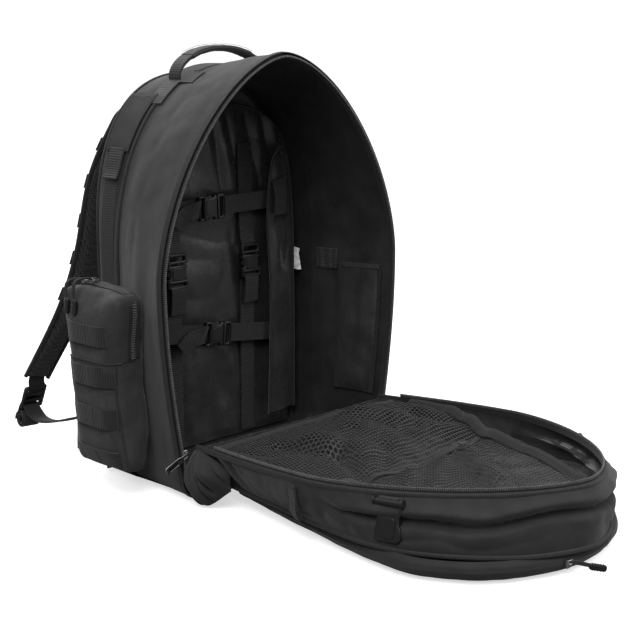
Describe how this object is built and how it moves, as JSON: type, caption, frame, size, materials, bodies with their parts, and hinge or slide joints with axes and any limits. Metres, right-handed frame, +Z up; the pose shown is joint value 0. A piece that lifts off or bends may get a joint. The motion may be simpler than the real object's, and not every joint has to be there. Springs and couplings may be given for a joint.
{
  "type": "trauma backpack",
  "caption": "Clamshell medical backpack, zip front open as a flat tray, with strapped inner panel, side pouches, haul handle and shoulder straps.",
  "frame": {"origin": "on the floor under the middle of the body, at the centre of its flat bottom", "axes": "+Z up; -Y towards the open lid; +X to the right as seen from the lid"},
  "size_m": [0.486, 0.8497, 0.532],
  "materials": {
    "shell_fabric": "coated nylon pack cloth, matt",
    "liner_fabric": "smooth coated nylon, satin",
    "webbing": "ribbed nylon webbing",
    "mesh": "open knitted mesh",
    "padding": "foam covered with spacer mesh",
    "sheet_plastic": "extruded sheet",
    "buckle_plastic": "moulded acetal, satin",
    "clip_plastic": "moulded, light grey",
    "label": "plain woven label, blank",
    "zip_tape": "zip tape with coil teeth",
    "zip_metal": "plated zinc, satin"
  },
  "bodies": {
    "root": {"back_panel": "shell_fabric", "back_padding": "padding", "frame_sheet": "sheet_plastic", "rear_shell": "shell_fabric", "front_gusset": "shell_fabric", "bottom_panel": "shell_fabric", "inner_panel": "liner_fabric", "wing_pocket": "liner_fabric", "inner_vertical_webs": "webbing", "inner_strap_upper": "webbing", "inner_strap_lower": "webbing", "buckle_sockets": "buckle_plastic", "care_label": "label", "top_patches": "shell_fabric", "arch_zip_tape": "zip_tape", "side_webs": "webbing", "lower_webs": "webbing"},
    "left_side": {"left_wall": "shell_fabric", "left_zip_tape": "zip_tape", "left_pouch": "shell_fabric", "left_pouch_webbing": "webbing"},
    "right_side": {"right_wall": "shell_fabric", "right_zip_tape": "zip_tape", "right_pouch": "shell_fabric", "right_pouch_webbing": "webbing", "wall_pocket": "liner_fabric", "loop_patch": "webbing"},
    "left_flap": {"left_pouch_flap": "shell_fabric"},
    "right_flap": {"right_pouch_flap": "shell_fabric"},
    "left_pouch_slider_front": {"left_pouch_slider_front": "zip_metal"},
    "left_pouch_slider_rear": {"left_pouch_slider_rear": "zip_metal"},
    "right_pouch_slider_front": {"right_pouch_slider_front": "zip_metal"},
    "right_pouch_slider_rear": {"right_pouch_slider_rear": "zip_metal"},
    "lid": {"lid_shell": "shell_fabric", "lid_liner": "liner_fabric", "lid_mesh_main": "mesh", "lid_mesh_tip": "mesh", "lid_zip_tape": "zip_tape", "lid_pocket": "shell_fabric", "lid_buckles": "buckle_plastic", "lid_keeper_tabs": "webbing", "lid_webbing": "webbing"},
    "lid_pocket_slider": {"lid_pocket_slider": "zip_metal"},
    "lid_pocket_pull": {"lid_pocket_pull": "zip_metal"},
    "left_main_slider": {"left_main_slider": "zip_metal"},
    "right_main_slider": {"right_main_slider": "zip_metal"},
    "left_main_pull": {"left_main_pull": "zip_metal"},
    "right_main_pull": {"right_main_pull": "zip_metal"},
    "handle": {"haul_handle": "webbing"},
    "left_strap": {"left_strap_pad": "padding", "left_ladder_lock": "buckle_plastic"},
    "right_strap": {"right_strap_pad": "padding", "right_ladder_lock": "buckle_plastic"},
    "left_clip": {"left_strap_clip": "clip_plastic"},
    "right_clip": {"right_strap_clip": "clip_plastic"},
    "upper_tongue": {"upper_tongue": "buckle_plastic"},
    "lower_tongue": {"lower_tongue": "buckle_plastic"},
    "left_web_tongue": {"left_web_tongue": "buckle_plastic"},
    "right_web_tongue": {"right_web_tongue": "buckle_plastic"}
  },
  "joints": [
    {"name": "lid_fold", "type": "hinge", "parent": "root", "child": "lid", "pos_m": [0, -0.102, 0.063], "axis": [-1, 0, 0], "range_deg": [0, 87.7]},
    {"name": "left_wall_fold", "type": "hinge", "parent": "root", "child": "left_side", "pos_m": [-0.163, 0.03, 0.16], "axis": [0, 0, 1], "range_deg": [0, 10]},
    {"name": "right_wall_fold", "type": "hinge", "parent": "root", "child": "right_side", "pos_m": [0.163, 0.03, 0.16], "axis": [0, 0, -1], "range_deg": [0, 10]},
    {"name": "left_flap_fold", "type": "hinge", "parent": "left_side", "child": "left_flap", "pos_m": [-0.2178, 0.005, 0.1685], "axis": [0, -1, 0], "range_deg": [0, 70]},
    {"name": "right_flap_fold", "type": "hinge", "parent": "right_side", "child": "right_flap", "pos_m": [0.2178, 0.005, 0.1685], "axis": [0, 1, 0], "range_deg": [0, 70]},
    {"name": "left_pouch_zip_front", "type": "slide", "parent": "left_side", "child": "left_pouch_slider_front", "axis": [0, -1, 0], "range_m": [0, 0.055]},
    {"name": "left_pouch_zip_rear", "type": "slide", "parent": "left_side", "child": "left_pouch_slider_rear", "axis": [0, 1, 0], "range_m": [0, 0.012]},
    {"name": "right_pouch_zip_front", "type": "slide", "parent": "right_side", "child": "right_pouch_slider_front", "axis": [0, -1, 0], "range_m": [0, 0.055]},
    {"name": "right_pouch_zip_rear", "type": "slide", "parent": "right_side", "child": "right_pouch_slider_rear", "axis": [0, 1, 0], "range_m": [0, 0.012]},
    {"name": "left_main_zip", "type": "slide", "parent": "left_side", "child": "left_main_slider", "axis": [-0.0995, 0, 0.995], "range_m": [0, 0.05]},
    {"name": "right_main_zip", "type": "slide", "parent": "right_side", "child": "right_main_slider", "axis": [0.0995, 0, 0.995], "range_m": [0, 0.05]},
    {"name": "left_main_pull_swing", "type": "hinge", "parent": "left_main_slider", "child": "left_main_pull", "pos_m": [-0.17, -0.0901, 0.06], "axis": [0, 1, 0], "range_deg": [-30, 80]},
    {"name": "right_main_pull_swing", "type": "hinge", "parent": "right_main_slider", "child": "right_main_pull", "pos_m": [0.17, -0.0901, 0.06], "axis": [0, -1, 0], "range_deg": [-30, 80]},
    {"name": "lid_pocket_zip", "type": "slide", "parent": "lid", "child": "lid_pocket_slider", "axis": [0.9563, -0.2924, 0], "range_m": [0, 0.02]},
    {"name": "lid_pocket_pull_swing", "type": "hinge", "parent": "lid_pocket_slider", "child": "lid_pocket_pull", "pos_m": [-0.046, -0.5432, 0.015], "axis": [0, 0, 1], "range_deg": [-40, 50]},
    {"name": "handle_flop", "type": "hinge", "parent": "root", "child": "handle", "pos_m": [0, 0.034, 0.488], "axis": [1, 0, 0], "range_deg": [-45, 45]},
    {"name": "left_strap_swing", "type": "hinge", "parent": "root", "child": "left_strap", "pos_m": [-0.088, 0.102, 0.45], "axis": [1, 0, 0], "range_deg": [-3, 20]},
    {"name": "right_strap_swing", "type": "hinge", "parent": "root", "child": "right_strap", "pos_m": [0.088, 0.102, 0.45], "axis": [1, 0, 0], "range_deg": [-3, 20]},
    {"name": "left_clip_slide", "type": "slide", "parent": "left_strap", "child": "left_clip", "axis": [0, -0.29, 0.957], "range_m": [-0.035, 0.035]},
    {"name": "right_clip_slide", "type": "slide", "parent": "right_strap", "child": "right_clip", "axis": [0, -0.29, 0.957], "range_m": [-0.035, 0.035]},
    {"name": "upper_buckle_release", "type": "slide", "parent": "root", "child": "upper_tongue", "axis": [0.9998, 0, 0.0181], "range_m": [0, 0.025]},
    {"name": "lower_buckle_release", "type": "slide", "parent": "root", "child": "lower_tongue", "axis": [0.9933, 0, -0.1152], "range_m": [0, 0.025]},
    {"name": "left_web_release", "type": "slide", "parent": "root", "child": "left_web_tongue", "axis": [0, 0, 1], "range_m": [0, 0.025]},
    {"name": "right_web_release", "type": "slide", "parent": "root", "child": "right_web_tongue", "axis": [0, 0, 1], "range_m": [0, 0.025]}
  ],
  "couplings": [
    {"joint": "left_wall_fold", "follows": "lid_fold", "ratio": 0.11402},
    {"joint": "right_wall_fold", "follows": "lid_fold", "ratio": 0.11402}
  ]
}
